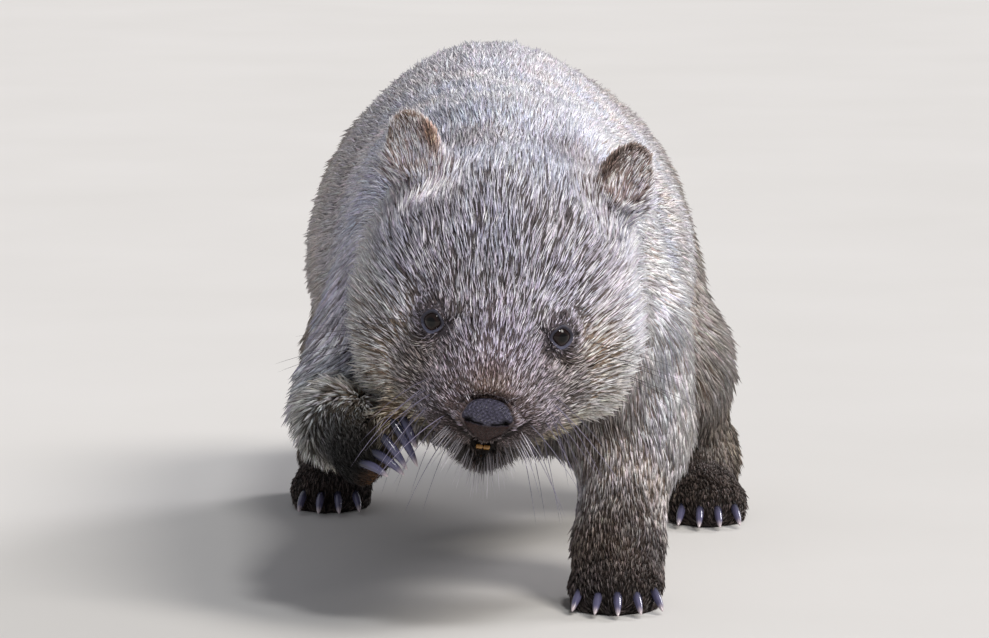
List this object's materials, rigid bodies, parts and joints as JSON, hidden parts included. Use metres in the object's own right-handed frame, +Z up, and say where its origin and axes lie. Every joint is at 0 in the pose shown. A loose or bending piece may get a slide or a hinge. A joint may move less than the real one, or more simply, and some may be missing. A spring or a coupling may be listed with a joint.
{
  "type": "common wombat model",
  "caption": "Life-size still model of a common wombat standing head-on with its head low and its right forefoot lifted, claws hanging.",
  "frame": {"origin": "on the floor under the middle of the animal's box", "axes": "+Z up, -Y is the way the animal faces, +X is its left side"},
  "size_m": [0.3544, 0.8232, 0.3695],
  "materials": {
    "coat": "coarse dense agouti fur, dark at the root and silver-buff at the tip",
    "face_fur": "short close fur, brown on the nose bridge and silver on the crown",
    "ear_fur": "short fur over thin skin, rusty inner edge",
    "paw": "thin black-brown fur over rough skin",
    "nose_leather": "cobbled, slightly moist",
    "eye": "wet gloss, very dark brown",
    "claw": "smooth worn horn, blue-grey with pale tips",
    "tooth": "amber enamel"
  },
  "bodies": {
    "root": {"belly": "coat", "head": "face_fur", "left_ear": "ear_fur", "left_eye": "eye", "left_forearm": "coat", "left_forefoot": "paw", "left_forefoot_claw_1": "claw", "left_forefoot_claw_2": "claw", "left_forefoot_claw_3": "claw", "left_forefoot_claw_4": "claw", "left_forefoot_claw_5": "claw", "left_hind_foot": "paw", "left_hind_foot_claw_1": "claw", "left_hind_foot_claw_2": "claw", "left_hind_foot_claw_3": "claw", "left_hind_foot_claw_4": "claw", "left_shank": "coat", "left_thigh": "coat", "left_upper_arm": "coat", "lower_incisors": "tooth", "lower_jaw": "face_fur", "neck": "coat", "nose": "nose_leather", "right_ear": "ear_fur", "right_eye": "eye", "right_forearm": "coat", "right_forefoot": "paw", "right_forefoot_claw_1": "claw", "right_forefoot_claw_2": "claw", "right_forefoot_claw_3": "claw", "right_forefoot_claw_4": "claw", "right_forefoot_claw_5": "claw", "right_hind_foot": "paw", "right_hind_foot_claw_1": "claw", "right_hind_foot_claw_2": "claw", "right_hind_foot_claw_3": "claw", "right_hind_foot_claw_4": "claw", "right_shank": "coat", "right_thigh": "coat", "right_upper_arm": "coat", "rump": "coat", "shoulders": "coat", "tail": "coat"}
  },
  "joints": []
}
